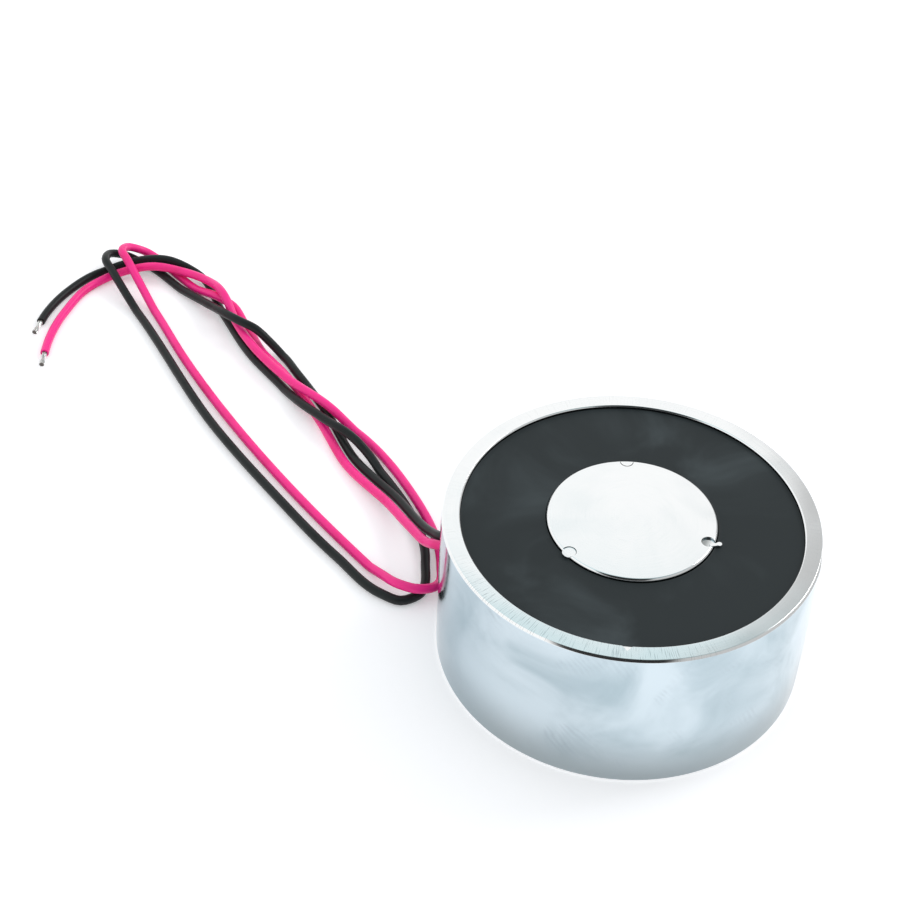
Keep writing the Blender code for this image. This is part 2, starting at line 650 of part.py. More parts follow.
def solder_outline():
    """A drop of solder, full in the middle and drawn in at both ends."""
    end_radius = SOLDER_END_DIAMETER / 2
    swell = SOLDER_DIAMETER / 2 - end_radius
    outline = [(0.0, 0.0)]
    for step in range(SOLDER_STEPS + 1):
        share = step / SOLDER_STEPS
        outline.append((end_radius + swell * math.sin(math.pi * share), SOLDER_LENGTH * share))
    return [*outline, (0.0, SOLDER_LENGTH)]


def build_lead(colour_name, side, route, insulation, tinned):
    line = lead_line(side, route)
    add_cord(f"lead_{colour_name}", line, LEAD_DIAMETER, insulation)
    direction = (line[-1] - line[-2]).normalized()
    outline = eased_outline([
        (0.0, 0.0),
        (CORE_DIAMETER / 2, 0.0),
        (CORE_DIAMETER / 2, TIP_LENGTH, TIP_CHAMFER),
        (0.0, TIP_LENGTH),
    ])
    add_turned_along(f"lead_tip_{colour_name}", outline, line[-1] + direction * GAP, direction, tinned)


def main():
    clear_scene()
    steel = make_material("ground_steel", (0.62, 0.64, 0.66), 0.3, 1.0)
    resin = make_material("potting_resin", (0.035, 0.045, 0.048), 0.6, 0.0)
    copper = make_material("enamelled_copper", (0.55, 0.2, 0.07), 0.35, 1.0)
    nylon = make_material("bobbin_nylon", (0.75, 0.73, 0.66), 0.5, 0.0)
    tape = make_material("coil_tape", (0.8, 0.62, 0.1), 0.45, 0.0)
    black = make_material("black_insulation", (0.02, 0.022, 0.022), 0.45, 0.0)
    red = make_material("red_insulation", (0.9, 0.03, 0.2), 0.4, 0.0)
    rubber = make_material("bush_rubber", (0.03, 0.03, 0.03), 0.7, 0.0)
    tinned = make_material("tinned_copper", (0.7, 0.7, 0.68), 0.35, 1.0)
    solder = make_material("solder", (0.6, 0.6, 0.6), 0.3, 1.0)
    sleeve = make_material("sleeve_black", (0.02, 0.02, 0.02), 0.6, 0.0)

    build_body(steel)
    build_potting(resin)
    build_bobbin(nylon)
    build_winding(copper)
    build_wrap(tape)
    build_joint_tapes(tape)
    build_bush(rubber)
    for colour_name, side, route, insulation in (
        ("black", 1, BLACK_ROUTE, black),
        ("red", -1, RED_ROUTE, red),
    ):
        build_joint(colour_name, side, solder, tinned, sleeve)
        build_lead(colour_name, side, route, insulation, tinned)


main()
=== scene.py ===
# A potted round holding electromagnet, its two leads lying in loose curves on a pale table.
import math

import bmesh
import bpy
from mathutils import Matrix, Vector


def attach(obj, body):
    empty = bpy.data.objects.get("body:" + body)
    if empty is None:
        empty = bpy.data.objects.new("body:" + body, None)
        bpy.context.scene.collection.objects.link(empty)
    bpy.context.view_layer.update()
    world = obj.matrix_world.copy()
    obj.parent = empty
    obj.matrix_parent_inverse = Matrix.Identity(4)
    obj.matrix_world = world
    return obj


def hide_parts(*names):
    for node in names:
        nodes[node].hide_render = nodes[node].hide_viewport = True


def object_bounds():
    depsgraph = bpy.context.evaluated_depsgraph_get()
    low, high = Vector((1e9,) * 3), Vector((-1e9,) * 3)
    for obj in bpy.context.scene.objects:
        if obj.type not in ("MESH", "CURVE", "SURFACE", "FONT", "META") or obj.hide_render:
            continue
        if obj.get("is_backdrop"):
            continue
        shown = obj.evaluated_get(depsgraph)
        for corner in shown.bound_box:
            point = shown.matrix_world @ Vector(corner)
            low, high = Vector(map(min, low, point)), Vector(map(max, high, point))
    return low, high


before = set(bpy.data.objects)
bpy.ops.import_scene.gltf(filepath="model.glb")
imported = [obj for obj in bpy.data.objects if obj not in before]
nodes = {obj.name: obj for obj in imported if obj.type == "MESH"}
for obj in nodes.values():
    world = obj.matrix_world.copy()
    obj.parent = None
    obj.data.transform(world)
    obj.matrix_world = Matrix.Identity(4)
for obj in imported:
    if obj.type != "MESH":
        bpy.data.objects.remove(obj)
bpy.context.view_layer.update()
mm = 0.001
print("frame loaded")


# The camera stands where the photograph was taken from.
cameraSpec = {
    "place": (0.0561, -0.2310, 0.2550),
    "turn": (48.075, -1.943, 23.001),
    "lens": 76.73,
}
cameraTurn = [math.radians(angle) for angle in cameraSpec["turn"]]
bpy.ops.object.camera_add(location=cameraSpec["place"], rotation=cameraTurn)
camera = bpy.context.active_object
camera.data.lens = cameraSpec["lens"]
camera.data.sensor_width = 36.0
camera.data.clip_start = 0.01
camera.data.clip_end = 50.0
bpy.context.scene.camera = camera


# Small helpers for modelling with the edit mode operators.
def clearSelection():
    if bpy.context.mode != "OBJECT":
        bpy.ops.object.mode_set(mode="OBJECT")
    bpy.ops.object.select_all(action="DESELECT")


def addCylinder(name, radius, low, high, sides, place=(0.0, 0.0)):
    clearSelection()
    bpy.ops.mesh.primitive_cylinder_add(
        vertices=sides, radius=radius, depth=high - low, location=(*place, (low + high) / 2))
    piece = bpy.context.active_object
    piece.name = piece.data.name = name
    bpy.ops.object.transform_apply(location=True, rotation=True, scale=True)
    bpy.ops.object.mode_set(mode="EDIT")
    return piece


def pick(piece, kind, rule):
    bpy.ops.mesh.select_mode(type=kind)
    bpy.ops.mesh.select_all(action="DESELECT")
    mesh = bmesh.from_edit_mesh(piece.data)
    if kind == "FACE":
        for face in mesh.faces:
            face.select_set(rule(face.calc_center_median(), face.normal))
    elif kind == "EDGE":
        for edge in mesh.edges:
            edge.select_set(rule((edge.verts[0].co + edge.verts[1].co) / 2))
    else:
        for vert in mesh.verts:
            vert.select_set(rule(vert.co))
    mesh.select_flush_mode()
    bmesh.update_edit_mesh(piece.data)


def ringAt(radius, height, slack=0.05 * mm):
    return lambda c: abs(c.xy.length - radius) < slack and abs(c.z - height) < slack


def bevelRing(piece, radius, height, size, steps=1):
    pick(piece, "EDGE", ringAt(radius, height))
    bpy.ops.mesh.bevel(offset=size, segments=steps, affect="EDGES")


def extrudeBy(z):
    bpy.ops.mesh.extrude_region_move(TRANSFORM_OT_translate={"value": (0.0, 0.0, z)})


def useTool(piece, tool, operation):
    clearSelection()
    piece.select_set(True)
    bpy.context.view_layer.objects.active = piece
    boolean = piece.modifiers.new("work", "BOOLEAN")
    boolean.operation = operation
    boolean.solver = "EXACT"
    boolean.object = tool
    bpy.ops.object.modifier_apply(modifier=boolean.name)
    bpy.data.objects.remove(tool)


def turnToSide(piece):
    # a piece modelled upright is laid along -X, at the height of the leads' exit
    clearSelection()
    piece.select_set(True)
    bpy.context.view_layer.objects.active = piece
    piece.rotation_euler = (0.0, -math.pi / 2, 0.0)
    piece.location = (0.0, 0.0, leadSpec["exitHeight"])
    bpy.ops.object.transform_apply(location=True, rotation=True, scale=True)


def cleanNormals(piece, merge=0.002 * mm):
    clearSelection()
    piece.select_set(True)
    bpy.context.view_layer.objects.active = piece
    bpy.ops.object.mode_set(mode="EDIT")
    bpy.ops.mesh.select_all(action="SELECT")
    bpy.ops.mesh.remove_doubles(threshold=merge)
    bpy.ops.mesh.normals_make_consistent(inside=False)
    bpy.ops.object.mode_set(mode="OBJECT")


def finishPiece(piece, slotName, material, *stands, sharp=30.0):
    clearSelection()
    piece.select_set(True)
    bpy.context.view_layer.objects.active = piece
    if piece.type == "MESH":
        bpy.ops.object.shade_smooth_by_angle(angle=math.radians(sharp))
        weight = piece.modifiers.new("flat faces stay flat", "WEIGHTED_NORMAL")
        weight.keep_sharp = True
        bpy.ops.object.modifier_apply(modifier=weight.name)
    piece.data.materials.clear()
    piece.data.materials.append(material)
    if stands:
        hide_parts(*stands)
    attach(piece, "root")


def addNode(tree, kind, x, y, **settings):
    node = tree.nodes.new(kind)
    node.location = (x, y)
    for key, value in settings.items():
        setattr(node, key, value)
    return node


def startMaterial(name, colour, roughness, metallic=0.0):
    material = bpy.data.materials.new(name)
    material.use_nodes = True
    tree = material.node_tree
    shader = tree.nodes["Principled BSDF"]
    shader.inputs["Base Color"].default_value = (*colour, 1.0)
    shader.inputs["Roughness"].default_value = roughness
    shader.inputs["Metallic"].default_value = metallic
    return material, tree, shader


# Wear and surface effects that several materials share, as node groups.
def startGroup(name, inputs, outputs):
    group = bpy.data.node_groups.new(name, "ShaderNodeTree")
    for label, kind, value in inputs:
        socket = group.interface.new_socket(name=label, in_out="INPUT", socket_type=kind)
        socket.default_value = value
    for label, kind in outputs:
        group.interface.new_socket(name=label, in_out="OUTPUT", socket_type=kind)
    return group, addNode(group, "NodeGroupInput", -1200, 0), addNode(group, "NodeGroupOutput", 800, 0)


def useGroup(tree, group, x, y, **values):
    node = addNode(tree, "ShaderNodeGroup", x, y, node_tree=group)
    for label, value in values.items():
        node.inputs[label].default_value = value
    return node


def makeSmudges():
    # broad clouds and finer specks, from 0 for clean to 1 for smudged
    group, start, end = startGroup(
        "smudges",
        [("Place", "NodeSocketVector", (0, 0, 0)), ("Cloud Size", "NodeSocketFloat", 100.0),
         ("Speck Size", "NodeSocketFloat", 900.0), ("Cover", "NodeSocketFloat", 0.5)],
        [("Clouds", "NodeSocketFloat"), ("Specks", "NodeSocketFloat")])
    cloud = addNode(group, "ShaderNodeTexNoise", -800, 200)
    cloud.inputs["Detail"].default_value = 4.0
    cloud.inputs["Distortion"].default_value = 0.6
    speck = addNode(group, "ShaderNodeTexNoise", -800, -200)
    speck.inputs["Detail"].default_value = 2.0
    for noise, size in ((cloud, "Cloud Size"), (speck, "Speck Size")):
        group.links.new(start.outputs["Place"], noise.inputs["Vector"])
        group.links.new(start.outputs[size], noise.inputs["Scale"])
    turned = addNode(group, "ShaderNodeMath", -600, 0, operation="SUBTRACT")
    turned.inputs[0].default_value = 1.0
    group.links.new(start.outputs["Cover"], turned.inputs[1])
    soft = addNode(group, "ShaderNodeMapRange", -300, 200, interpolation_type="SMOOTHSTEP")
    soft.inputs["From Max"].default_value = 0.85
    group.links.new(turned.outputs[0], soft.inputs["From Min"])
    group.links.new(cloud.outputs["Fac"], soft.inputs["Value"])
    hard = addNode(group, "ShaderNodeMapRange", -300, -200)
    hard.inputs["From Min"].default_value = 0.66
    hard.inputs["From Max"].default_value = 0.74
    group.links.new(speck.outputs["Fac"], hard.inputs["Value"])
    group.links.new(soft.outputs["Result"], end.inputs["Clouds"])
    group.links.new(hard.outputs["Result"], end.inputs["Specks"])
    return group


def makeGrinding():
    # fine marks that run round the turning axis, with short radial strokes across them
    group, start, end = startGroup(
        "grindingMarks",
        [("Place", "NodeSocketVector", (0, 0, 0)), ("Round Marks", "NodeSocketFloat", 2500.0),
         ("Strokes", "NodeSocketFloat", 60.0)],
        [("Marks", "NodeSocketFloat"), ("Strokes", "NodeSocketFloat")])
    apart = addNode(group, "ShaderNodeSeparateXYZ", -1000, 0)
    group.links.new(start.outputs["Place"], apart.inputs[0])
    flat = addNode(group, "ShaderNodeCombineXYZ", -850, 200)
    group.links.new(apart.outputs["X"], flat.inputs["X"])
    group.links.new(apart.outputs["Y"], flat.inputs["Y"])
    reach = addNode(group, "ShaderNodeVectorMath", -700, 200, operation="LENGTH")
    group.links.new(flat.outputs[0], reach.inputs[0])
    around = addNode(group, "ShaderNodeMath", -700, -100, operation="ARCTAN2")
    group.links.new(apart.outputs["Y"], around.inputs[0])
    group.links.new(apart.outputs["X"], around.inputs[1])
    polarPlace = addNode(group, "ShaderNodeCombineXYZ", -500, 0)
    fine = addNode(group, "ShaderNodeMath", -600, 100, operation="MULTIPLY")
    group.links.new(reach.outputs["Value"], fine.inputs[0])
    group.links.new(start.outputs["Round Marks"], fine.inputs[1])
    group.links.new(fine.outputs[0], polarPlace.inputs["X"])
    group.links.new(around.outputs[0], polarPlace.inputs["Y"])
    marks = addNode(group, "ShaderNodeTexNoise", -300, 100)
    marks.inputs["Scale"].default_value = 1.6
    marks.inputs["Detail"].default_value = 3.0
    group.links.new(polarPlace.outputs[0], marks.inputs["Vector"])
    strokePlace = addNode(group, "ShaderNodeCombineXYZ", -500, -300)
    coarse = addNode(group, "ShaderNodeMath", -600, -200, operation="MULTIPLY")
    coarse.inputs[1].default_value = 260.0
    group.links.new(reach.outputs["Value"], coarse.inputs[0])
    wide = addNode(group, "ShaderNodeMath", -600, -350, operation="MULTIPLY")
    group.links.new(around.outputs[0], wide.inputs[0])
    group.links.new(start.outputs["Strokes"], wide.inputs[1])
    group.links.new(coarse.outputs[0], strokePlace.inputs["X"])
    group.links.new(wide.outputs[0], strokePlace.inputs["Y"])
    strokes = addNode(group, "ShaderNodeTexNoise", -300, -300)
    strokes.inputs["Scale"].default_value = 1.3
    group.links.new(strokePlace.outputs[0], strokes.inputs["Vector"])
    sharp = addNode(group, "ShaderNodeMapRange", 0, -300)
    sharp.inputs["From Min"].default_value = 0.55
    sharp.inputs["From Max"].default_value = 0.68
    group.links.new(strokes.outputs["Fac"], sharp.inputs["Value"])
    group.links.new(marks.outputs["Fac"], end.inputs["Marks"])
    group.links.new(sharp.outputs["Result"], end.inputs["Strokes"])
    return group


smudges = makeSmudges()
grinding = makeGrinding()


def link(tree, source, target):
    tree.links.new(source, target)


def addMath(tree, x, y, operation, first, second):
    # a sum, product or the like of two sockets or plain values
    node = addNode(tree, "ShaderNodeMath", x, y, operation=operation)
    for k, value in enumerate((first, second)):
        if isinstance(value, (int, float)):
            node.inputs[k].default_value = value
        else:
            tree.links.new(value, node.inputs[k])
    return node.outputs[0]


def addProduct(tree, x, y, product, *factors):
    # the product of several sockets or plain values
    for factor in factors:
        product = addMath(tree, x, y, "MULTIPLY", product, factor)
    return product


def addBlend(tree, x, y, amount, first, second):
    # from the first colour to the second as the amount goes from 0 to 1
    node = addNode(tree, "ShaderNodeMix", x, y, data_type="RGBA")
    tree.links.new(amount, node.inputs[0])
    for k, value in ((6, first), (7, second)):
        if isinstance(value, tuple):
            node.inputs[k].default_value = (*value, 1.0)
        else:
            tree.links.new(value, node.inputs[k])
    return node.outputs[2]


def addRange(tree, x, y, value, low, high, toLow=0.0, toHigh=1.0):
    node = addNode(tree, "ShaderNodeMapRange", x, y, interpolation_type="SMOOTHSTEP")
    for label, number in (("From Min", low), ("From Max", high), ("To Min", toLow), ("To Max", toHigh)):
        node.inputs[label].default_value = number
    tree.links.new(value, node.inputs["Value"])
    return node.outputs["Result"]


def plainFinish(name, colour, darker, roughness, cloudSize, grain, metallic=0.0):
    # a moulded or drawn surface: two near colours in clouds, a fine grain and uneven gloss
    material, tree, shader = startMaterial(name, colour, roughness, metallic)
    place = addNode(tree, "ShaderNodeTexCoord", -1200, 0)
    sizes = {"Cloud Size": cloudSize, "Speck Size": grain, "Cover": 0.55}
    marks = useGroup(tree, smudges, -900, 0, **sizes)
    link(tree, place.outputs["Object"], marks.inputs["Place"])
    tone = addBlend(tree, -500, 200, marks.outputs["Clouds"], colour, darker)
    link(tree, tone, shader.inputs["Base Color"])
    gloss = addMath(tree, -500, -100, "MULTIPLY", marks.outputs["Clouds"], 0.12)
    link(tree, addMath(tree, -300, -100, "ADD", gloss, roughness), shader.inputs["Roughness"])
    bump = addNode(tree, "ShaderNodeBump", -300, -300)
    bump.inputs["Strength"].default_value = 0.12
    bump.inputs["Distance"].default_value = 0.05 * mm
    link(tree, marks.outputs["Specks"], bump.inputs["Height"])
    link(tree, bump.outputs["Normal"], shader.inputs["Normal"])
    return material


# The leads' routes in metres, the same as those of the solids.
leadSpec = {
    "diameter": 1.8 * mm,
    "lowest": 0.95 * mm,
    "exitHeight": 9.95 * mm,
    "jointRadius": 25.760 * mm,
    "jointAngle": 20.0,
    "insulationEnd": -1.5 * mm,
    "bendRadius": 3.8 * mm,
    "bendStart": -29.692 * mm,
    "halfSpacing": 1.05 * mm,
    "bendSteps": 3,
    "step": 0.9 * mm,
}
blackRoute = [
    (-.0343, .0013, .0098), (-.0380, .0039, .0073), (-.0500, .0142, .0027), (-.0630, .0228, .00095),
    (-.0734, .0326, .00095), (-.0846, .0414, .00095), (-.0895, .0450, .00095), (-.0933, .0464, .0025),
    (-.0967, .0467, .0046), (-.1005, .0469, .0053), (-.1135, .0533, .0021), (-.1200, .0562, .00095),
    (-.1328, .0610, .00095), (-.1362, .0610, .0016), (-.1385, .0583, .0032), (-.1376, .0549, .0042),
    (-.1344, .0523, .0037), (-.1245, .0452, .00095), (-.0910, .0187, .00095), (-.0725, .0070, .00095),
    (-.0540, -.0035, .00095), (-.0425, -.0086, .00095), (-.0387, -.0087, .00095), (-.0364, -.0062, .00095),
    (-.0386, .0024, .00095), (-.0565, .0213, .00095), (-.0600, .0237, .0020), (-.0635, .0252, .0033),
    (-.0724, .0286, .0032), (-.0790, .0319, .0022), (-.0845, .0356, .00095), (-.0963, .0429, .00095),
    (-.1078, .0526, .00095), (-.1190, .0618, .0017), (-.1253, .0616, .0033), (-.1384, .0542, .00095),
    (-.1415, .0440, .00095), (-.1410, .0335, .00095),
]
redRoute = [
    (-.0343, -.0009, .0098), (-.0379, .0012, .0073), (-.0435, .0059, .0050), (-.0500, .0114, .0031),
    (-.0640, .0208, .00095), (-.0738, .0299, .00095), (-.0880, .0408, .00095), (-.0933, .0439, .00095),
    (-.1018, .0512, .0011), (-.1055, .0536, .0027), (-.1092, .0544, .0033), (-.1170, .0573, .0013),
    (-.1220, .0598, .00095), (-.1336, .0634, .0023), (-.1355, .0608, .0043), (-.1350, .0577, .0055),
    (-.1323, .0554, .0052), (-.1275, .0519, .0030), (-.1210, .0468, .00095), (-.1075, .0354, .00095),
    (-.0444, -.0048, .0018), (-.0398, -.0071, .0033), (-.0366, -.0069, .0033), (-.0344, -.0049, .0025),
    (-.0339, -.0018, .0013), (-.0356, .0028, .00095), (-.0500, .0196, .00095), (-.0675, .0306, .0014),
    (-.0716, .0319, .0029), (-.0848, .0369, .0031), (-.0970, .0442, .0030), (-.1025, .0488, .0030),
    (-.1078, .0534, .0055), (-.1148, .0582, .0038), (-.1203, .0594, .0031), (-.1280, .0582, .0031),
    (-.1340, .0550, .0017), (-.1377, .0494, .00095), (-.1382, .0387, .00095), (-.1347, .0248, .00095),
]


def smoothLine(route, step):
    # a curve through every point, whose direction leans to the nearer neighbour
    points = [Vector(p) for p in route]
    lengths = [(b - a).length for a, b in zip(points, points[1:])]
    slopes = [(b - a) / d for a, b, d in zip(points, points[1:], lengths)]
    inner = [(sa * b + sb * a) / (a + b) for sa, sb, a, b in zip(slopes, slopes[1:], lengths, lengths[1:])]
    tangents = [2 * slopes[0] - inner[0], *inner, 2 * slopes[-1] - inner[-1]]
    line = []
    for a, b, ta, tb, d in zip(points, points[1:], tangents, tangents[1:], lengths):
        count = max(1, round(d / step))
        for k in range(count):
            t = k / count
            line.append((2*t**3 - 3*t**2 + 1) * a + (t**3 - 2*t**2 + t) * d * ta
                        + (3*t**2 - 2*t**3) * b + (t**3 - t**2) * d * tb)
    return [*line, points[-1]]


def leadLine(side, route):
    # from the soldered joint, round the bend behind the bush, out through it and along the route
    spec = leadSpec
    turn = math.radians(spec["jointAngle"])
    along = spec["insulationEnd"]
    x = -spec["jointRadius"] * math.cos(turn) + along * math.sin(turn)
    y = spec["jointRadius"] * math.sin(turn) + along * math.cos(turn)
    points = [(x, side * y, spec["exitHeight"])]
    for k in range(spec["bendSteps"], -1, -1):
        angle = (math.pi / 2 - turn) * k / spec["bendSteps"]
        x = spec["bendStart"] + spec["bendRadius"] * math.sin(angle)
        y = spec["halfSpacing"] + spec["bendRadius"] * (1 - math.cos(angle))
        points.append((x, side * y, spec["exitHeight"]))
    line = smoothLine(points + route, spec["step"])
    return [Vector((p.x, p.y, max(p.z, spec["lowest"]))) for p in line]


def addLead(name, line):
    curve = bpy.data.curves.new(name, "CURVE")
    curve.dimensions = "3D"
    curve.bevel_depth = leadSpec["diameter"] / 2
    curve.bevel_resolution = 5
    curve.use_fill_caps = True
    spline = curve.splines.new("POLY")
    spline.points.add(len(line) - 1)
    for point, place in zip(spline.points, line):
        point.co = (*place, 1.0)
    spline.use_smooth = True
    lead = bpy.data.objects.new(name, curve)
    bpy.context.scene.collection.objects.link(lead)
    return lead


blackPlastic = plainFinish(
    "blackInsulation", (0.016, 0.019, 0.019), (0.008, 0.01, 0.01), 0.36, 160.0, 3000.0)
redPlastic = plainFinish("redInsulation", (1.0, 0.015, 0.27), (0.86, 0.010, 0.2), 0.36, 160.0, 3000.0)
blackPlastic.node_tree.nodes["Principled BSDF"].inputs["Specular IOR Level"].default_value = 0.22
leadParts = (("black", 1, blackRoute, blackPlastic), ("red", -1, redRoute, redPlastic))
leads = {}
for colour, side, route, plastic in leadParts:
    line = leadLine(side, route)
    lead = addLead(f"{colour}Lead", line)
    finishPiece(lead, f"{colour}_insulation", plastic, f"lead_{colour}")
    length = sum((b - a).length for a, b in zip(line, line[1:]))
    leads[colour] = (lead, line, length, side)
    print(f"{colour} lead, {length * 1000:.1f} mm")


# The turned steel body.
bodySpec = {
    "radius": 32.5 * mm,
    "height": 30.0 * mm,
    "wall": 3.25 * mm,
    "chamberWidth": 14.65 * mm,
    "floor": 6.0 * mm,
    "outerChamfer": 0.4 * mm,
    "innerChamfer": 0.2 * mm,
    "poleChamfer": 0.3 * mm,
    "easing": 0.07 * mm,
    "fillet": 0.8 * mm,
    "boreRadius": 3.95 * mm,
    "boreDepth": 12.0 * mm,
    "pitch": 1.25 * mm,
    "sinkRadius": 4.2 * mm,
    "drillHalfAngle": 59.0,
    "drillTip": 0.98,
    "ridgeRadius": 0.42 * mm,
    "ridgeInset": 0.13 * mm,
    "ridgeStart": 1.3 * mm,
    "ridgeTurns": 7,
    "sides": 192,
}


def buildBody(spec):
    radius, height = spec["radius"], spec["height"]
    mouth = radius - spec["wall"]
    pole = mouth - spec["chamberWidth"]
    body = addCylinder("steelBody", radius, 0.0, height, spec["sides"])
    pick(body, "FACE", lambda c, n: n.z > 0.9)
    bpy.ops.mesh.inset(thickness=spec["wall"])
    bpy.ops.mesh.inset(thickness=spec["chamberWidth"])
    pick(body, "FACE", lambda c, n: n.z > 0.9 and pole < c.xy.length < mouth)
    extrudeBy(spec["floor"] - height)
    for ring, level, size in ((radius, height, spec["outerChamfer"]), (radius, 0.0, spec["outerChamfer"]),
                              (mouth, height, spec["innerChamfer"]), (pole, height, spec["poleChamfer"])):
        bevelRing(body, ring, level, size)
    for ring in (mouth, pole):
        bevelRing(body, ring, spec["floor"], spec["fillet"], 4)
    # the edges that the chamfers leave are eased
    step = spec["outerChamfer"]
    for ring, level, size in (
            (radius, height - step, 1), (radius - step, height, 1),
            (radius, step, 1), (radius - step, 0.0, 1),
            (mouth, height - spec["innerChamfer"], 0.5), (mouth + spec["innerChamfer"], height, 0.5),
            (pole, height - spec["poleChamfer"], 1), (pole - spec["poleChamfer"], height, 1)):
        bevelRing(body, ring, level, spec["easing"] * size, 2)
    # the threaded hole in the back
    bore = spec["boreRadius"]
    sink = spec["sinkRadius"] - bore
    point = bore / math.tan(math.radians(spec["drillHalfAngle"]))
    pick(body, "FACE", lambda c, n: n.z < -0.9 and c.xy.length < mm and c.z < mm)
    bpy.ops.mesh.inset(thickness=radius - step - spec["sinkRadius"])
    bpy.ops.mesh.inset(thickness=sink, depth=-sink)
    extrudeBy(spec["boreDepth"] - sink)
    bpy.ops.mesh.inset(thickness=bore * spec["drillTip"], depth=-point)
    clearSelection()
    return body


# The marks punched at the pole's edge, the nick in the rim and the way out for the leads.
markSpec = {
    "stakes": (
        {"angle": 0.0, "inset": 1.1 * mm, "radius": 1.2 * mm, "depth": 0.5 * mm, "rise": 0.12 * mm,
         "reach": 1.3 * mm, "half": 0.3 * mm, "lean": 35.0},
        {"angle": 113.0, "inset": 0.4 * mm, "radius": 1.2 * mm, "depth": 0.25 * mm, "rise": 0.3 * mm,
         "reach": 0.0, "half": 0.0, "lean": 0.0},
        {"angle": 240.0, "inset": 0.7 * mm, "radius": 1.2 * mm, "depth": 0.35 * mm, "rise": 0.2 * mm,
         "reach": 0.5 * mm, "half": 1.1 * mm, "lean": 0.0},
    ),
    "noseEasing": 0.18 * mm,
    "noseStep": 0.3 * mm,
    "lugLow": 29.5 * mm,
    "lugHigh": 29.8 * mm,
    "lugRoot": 0.8 * mm,
    "lugRounding": 0.9,
    "bulbSize": 1.5,
    "bulbProud": 0.02 * mm,
    "nickAngle": -72.6,
    "nickWidth": 2.0 * mm,
    "nickReach": 1.2 * mm,
    "nickRoot": 0.6 * mm,
    "nickDepth": 0.2 * mm,
    "holeRadius": 3.0 * mm,
    "holeStart": 28.0 * mm,
    "holeEnd": 34.0 * mm,
}


def addStakes(body, spec, pole, top):
    for stake in spec["stakes"]:
        angle = math.radians(stake["angle"])
        aim = Vector((math.cos(angle), math.sin(angle)))
        middle = aim * (pole - stake["inset"])
        punch = addCylinder("punch", stake["radius"], top - stake["depth"], top + mm, 32, tuple(middle))
        # the punch's nose is rounded and hollow, so it leaves a raised middle
        pick(punch, "FACE", lambda c, n: n.z < -0.9)
        bpy.ops.mesh.bevel(offset=spec["noseEasing"], segments=3, affect="EDGES")
        pick(punch, "FACE", lambda c, n: n.z < -0.9)
        for ring in range(2):
            bpy.ops.mesh.inset(thickness=spec["noseStep"])
        bpy.ops.transform.translate(value=(0.0, 0.0, stake["rise"]))
        useTool(body, punch, "DIFFERENCE")
        if stake["reach"]:
            addLug(body, spec, stake, angle, aim * pole)


def addLug(body, spec, stake, angle, foot):
    # the lip of metal that the punch pushed out over the resin
    clearSelection()
    low, high = spec["lugLow"], spec["lugHigh"]
    middle = (low + high) / 2
    length = stake["reach"] + spec["lugRoot"]
    turn = angle + math.radians(stake["lean"])
    way = Vector((math.cos(turn), math.sin(turn)))
    bpy.ops.mesh.primitive_cube_add(size=1.0)
    lug = bpy.context.active_object
    lug.scale = (length, 2 * stake["half"], high - low)
    lug.rotation_euler = (0.0, 0.0, turn)
    lug.location = (*(foot + way * (stake["reach"] - length / 2)), middle)
    bpy.ops.object.transform_apply(location=True, rotation=True, scale=True)
    bpy.ops.object.mode_set(mode="EDIT")
    outside = foot.length + stake["reach"] / 2
    pick(lug, "EDGE", lambda c: abs(c.z - middle) < 0.01 * mm and c.xy.length > outside)
    bpy.ops.mesh.bevel(offset=stake["half"] * spec["lugRounding"], segments=6, affect="EDGES")
    useTool(body, lug, "UNION")
    if stake["lean"]:
        # the narrow finger ends in a small bulb
        size = stake["half"] * spec["bulbSize"]
        proud = spec["bulbProud"]
        place = tuple(foot + way * (stake["reach"] - size))
        useTool(body, addCylinder("lugBulb", size, low - proud, high + proud, 24, place), "UNION")


def addNick(body, spec, mouth, top):
    clearSelection()
    bpy.ops.mesh.primitive_cylinder_add(vertices=3, radius=1.0, depth=1.0)
    tool = bpy.context.active_object
    length = spec["nickReach"] + spec["nickRoot"]
    angle = math.radians(spec["nickAngle"])
    # the three-sided prism points outwards, its base inside the mouth
    tool.rotation_euler = (0.0, 0.0, math.radians(-90.0))
    bpy.ops.object.transform_apply(location=False, rotation=True, scale=False)
    # its floor slopes down into the mouth, so it catches the light
    bpy.ops.object.mode_set(mode="EDIT")
    pick(tool, "VERT", lambda c: c.z < 0 and c.x < 0)
    bpy.ops.transform.translate(value=(0.0, 0.0, -0.5))
    bpy.ops.object.mode_set(mode="OBJECT")
    tool.scale = (length / 1.5, spec["nickWidth"] * 1.5 / math.sqrt(3.0), spec["nickDepth"] * 2)
    tool.rotation_euler = (0.0, 0.0, angle)
    reach = mouth + spec["nickReach"] - length / 1.5
    tool.location = (reach * math.cos(angle), reach * math.sin(angle), top)
    bpy.ops.object.transform_apply(location=True, rotation=True, scale=True)
    useTool(body, tool, "DIFFERENCE")


